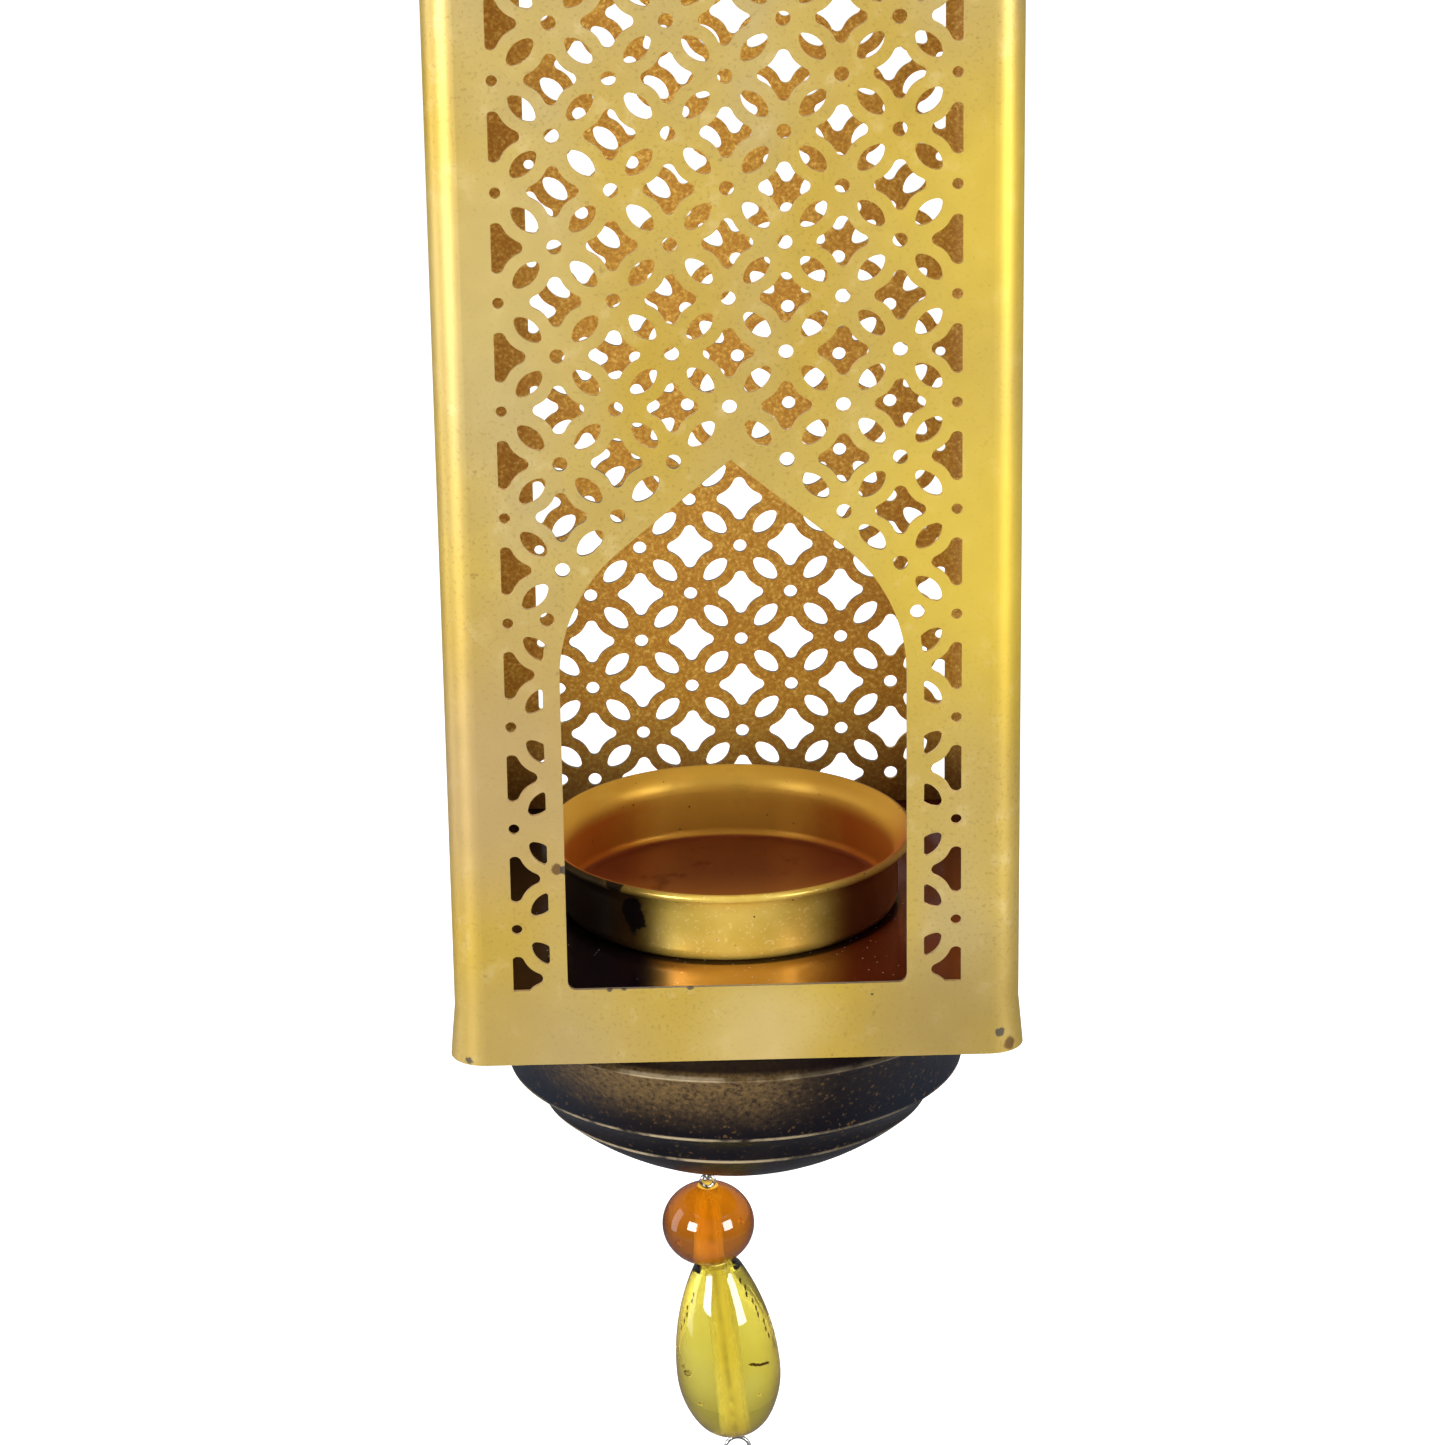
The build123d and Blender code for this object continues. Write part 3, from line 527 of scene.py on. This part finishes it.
def stringy_flaw():
    """Dark brown thread drawn into the glass."""
    p = Paint("stringy_flaw")
    color = p.mix(p.noise(0.5 * MM, 3), rgb(96, 62, 16), rgb(150, 112, 30))
    rough = p.span(p.noise(0.3 * MM, 2), 0.1, 0.4)
    return p.finish(color, rough, 0.0, None, Transmission_Weight=0.7, IOR=1.2)


def dress(node, *materials):
    """Gives a CAD node its materials, in slot order."""
    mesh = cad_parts[node].data
    mesh.materials.clear()
    for material in materials:
        mesh.materials.append(material)


def bevel(node):
    """Softens a sheet's sharp edges a little."""
    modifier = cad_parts[node].modifiers.new("soft_edges", "BEVEL")
    modifier.width = EDGE_SOFTNESS
    modifier.segments = 2
    modifier.limit_method = "ANGLE"
    modifier.angle_limit = EDGE_ANGLE
    modifier.harden_normals = True


def dress_cad():
    """Every CAD node gets its looks."""
    front = gold_paint("gold_paint_front", "y", 1.0)
    back = gold_paint("gold_paint_back", "y", -1.0)
    left = gold_paint("gold_paint_left", "x", 1.0)
    right = gold_paint("gold_paint_right", "x", -1.0)
    dress("front_panel", front)
    dress("back_panel", back)
    dress("left_side_panel", left)
    dress("right_side_panel", right)
    dress("top_plate", back)
    dress("floor_plate", floor_lacquer())
    dress("tealight_cup", soot_cup())
    dress("bottom_bowl", dark_bronze("dark_bronze_bowl", TOWER_BASE, -1.0))
    dress("top_dome", dark_bronze("dark_bronze_dome", TOWER_HIGH.z, 1.0))
    steel = darkened_steel()
    links = ("chain_link_1", "chain_link_2", "chain_link_3")
    for node in ("hanging_ring", *links, "top_eye", "eye_washer"):
        dress(node, steel)
    wire = bright_wire()
    dress("bead_hook", wire)
    dress("bead_pin", wire)
    amber = tinted_glass(
        "amber_glass",
        pale=rgb(176, 108, 12),
        deep=rgb(148, 80, 6),
        rim_shade=rgb(64, 18, 3),
        glow=rgb(255, 206, 70),
        bore_point=ROUND_MIDDLE,
        bore_axis=(0, 0, 1),
        stretch=(1, 1, 0.4),
    )
    olive = tinted_glass(
        "olive_glass",
        pale=rgb(174, 164, 66),
        deep=rgb(162, 148, 46),
        rim_shade=rgb(96, 74, 22),
        glow=rgb(220, 206, 110),
        bore_point=DROP_TOP,
        bore_axis=DROP_AXIS,
        stretch=(1, 1, 0.3),
    )
    dress("round_bead", amber)
    dress("drop_bead", olive)
    for node in ("front_panel", "back_panel", "left_side_panel", "right_side_panel"):
        bevel(node)


# ---- bubbles and flaws in the beads ---------------------------------------------------

def balls(name, spots, material, body):
    """One piece made of small uneven balls: (centre, radius, stretch) for each."""
    mesh = bpy.data.meshes.new(name)
    shape = bmesh.new()
    for center, radius, stretch in spots:
        made = bmesh.ops.create_icosphere(shape, subdivisions=3, radius=radius)
        for vertex in made["verts"]:
            ripple = 1 + 0.12 * math.sin(7 * vertex.co.x / radius + 5 * vertex.co.z / radius)
            vertex.co = center + Vector(vertex.co[i] * stretch[i] * ripple for i in range(3))
    for face in shape.faces:
        face.smooth = True
    shape.to_mesh(mesh)
    shape.free()
    mesh.materials.append(material)
    piece = bpy.data.objects.new(name, mesh)
    bpy.context.scene.collection.objects.link(piece)
    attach(piece, body)


def in_drop(x, y, down):
    """A place in the drop, in millimetres from its upper end along its axis."""
    return DROP_TOP + DROP_AXIS * (down * MM) + Vector((x, y, 0)) * MM


def bead_bubbles():
    """Air bubbles in both beads, and three brown threads in the drop."""
    air = air_bubble()
    flaw = stringy_flaw()
    places = [                # x, y and z from the round bead's middle, radius, in mm
        (-3.0, -1.8, -1.3, 0.32),
        (3.2, -1.2, 0.6, 0.28),
        (2.6, 2.2, 1.6, 0.2),
        (-2.2, -3.0, -2.4, 0.18),
    ]
    spots = [
        (ROUND_MIDDLE + Vector((x, y, z)) * MM, size * MM, (1, 1, 1.2))
        for x, y, z, size in places
    ]
    balls("round_bead_bubbles", spots, air, "round_bead")
    places = [                # x, y and way down the drop, radius, in mm, and how wide
        (-4.4, -2.2, 14.2, 0.42, 1.5),
        (-4.9, -2.0, 13.4, 0.2, 1.2),
        (2.5, -1.0, 17.5, 0.16, 1.2),
        (-2, 2, 19, 0.18, 1),
    ]
    spots = [
        (in_drop(x, y, down), size * MM, (wide, 1, 1.0))
        for x, y, down, size, wide in places
    ]
    balls("drop_bead_bubbles", spots, air, "drop_bead")
    spots = []
    for step in range(9):     # the longest thread has nine balls, the other two six and five
        wander = 0.22 * math.sin(step * 2.3)
        right = in_drop(2.4 + 0.33 * step + wander, -1.6, 2.2 + 0.95 * step)
        left = in_drop(-2.9 - 0.36 * step + wander, -1.4, 4.0 + 0.9 * step)
        lying = in_drop(2.6 + 0.5 * step, -3.4, 12.6 + 0.9 * abs(wander))
        spots.append((right, 0.16 * MM, (0.8, 0.8, 2.6)))
        if step < 6:
            spots.append((left, 0.13 * MM, (0.8, 0.8, 2.8)))
        if step < 5:
            spots.append((lying, 0.2 * MM, (1.9, 0.8, 0.9)))
    balls("drop_bead_flaws", spots, flaw, "drop_bead")


# ---- floor, lights and camera ---------------------------------------------------------

def pale_studio():
    """A white floor well below the hanging lantern, and a white room around it."""
    floor_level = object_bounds()[0].z - FLOOR_DROP
    bpy.ops.mesh.primitive_plane_add(size=STUDIO_SIZE, location=(0, 0, floor_level))
    floor = bpy.context.object
    floor.name = "studio_floor"
    p = Paint("studio_floor")
    tone = p.mix(p.noise(0.5, 2), rgb(250, 250, 250), rgb(244, 244, 245))
    mirrored = mirror_rays(p.tree)
    tone = p.mix(mirrored, tone, rgb(110, 112, 118))
    glow = {"Emission_Color": rgb(255, 255, 255), "Emission_Strength": p.span(mirrored, 0.55, 0.0)}
    floor.data.materials.append(p.finish(tone, 0.9, **glow))
    world = bpy.data.worlds.new("studio")
    bpy.context.scene.world = world
    world.use_nodes = True
    studio_air(world.node_tree)


def mirror_rays(tree):
    """1 for what a surface mirrors, 0 for what is seen directly or through glass."""
    rays = add_node(tree, "ShaderNodeLightPath").outputs
    inputs = {0: rays["Is Glossy Ray"], 1: rays["Is Transmission Ray"]}
    return add_node(tree, "ShaderNodeMath", inputs, operation="GREATER_THAN").outputs["Value"]


def studio_air(tree):
    """White when seen directly or through glass, dimmer as light, dark in reflections."""
    view = add_node(tree, "ShaderNodeTexCoord").outputs["Generated"]
    direction = add_node(tree, "ShaderNodeSeparateXYZ", {"Vector": view})
    levels = {
        "Value": direction.outputs["Y"],
        "From Min": SHEEN_TURN[0],
        "From Max": SHEEN_TURN[1],
        "To Min": SHEEN_FRONT,
        "To Max": SHEEN_BACK,
    }
    sheen = add_node(tree, "ShaderNodeMapRange", levels, interpolation_type="SMOOTHSTEP")
    diffuse = add_node(tree, "ShaderNodeLightPath").outputs["Is Diffuse Ray"]
    strength = 1.0
    for ray, level in ((diffuse, ROOM_LIGHT), (mirror_rays(tree), sheen.outputs["Result"])):
        inputs = {"Factor": ray, "A": strength, "B": level}
        strength = add_node(tree, "ShaderNodeMix", inputs).outputs["Result"]
    background = tree.nodes["Background"]
    feed(tree, background.inputs["Color"], (1, 1, 1, 1))
    feed(tree, background.inputs["Strength"], strength)


def area_light(name, place, aim, width, height, power):
    """A rectangular light at place, turned towards aim."""
    data = bpy.data.lights.new(name, "AREA")
    data.shape = "RECTANGLE"
    data.size = width
    data.size_y = height
    data.energy = power
    light = bpy.data.objects.new(name, data)
    bpy.context.scene.collection.objects.link(light)
    light.location = place
    direction = aim - place
    light.rotation_euler = direction.to_track_quat("-Z", "Y").to_euler()


def studio_lights():
    middle = Vector((0, 0, TOWER_BASE))
    for name, place, width, height, power in LIGHTS:
        area_light(name, middle + Vector(place), middle, width, height, power)


def front_camera():
    """Looks down on the door from half a metre in front, through a long lens."""
    data = bpy.data.cameras.new("camera")
    data.sensor_width = CAMERA_SENSOR
    data.lens = CAMERA_LENS
    data.clip_start = 0.01
    data.clip_end = 50
    camera = bpy.data.objects.new("camera", data)
    bpy.context.scene.collection.objects.link(camera)
    camera.location = CAMERA_PLACE
    camera.rotation_euler = [math.radians(angle) for angle in CAMERA_TURN]
    bpy.context.scene.camera = camera


dress_cad()
bead_bubbles()
pale_studio()
studio_lights()
front_camera()
bpy.context.scene.view_settings.view_transform = "Standard"
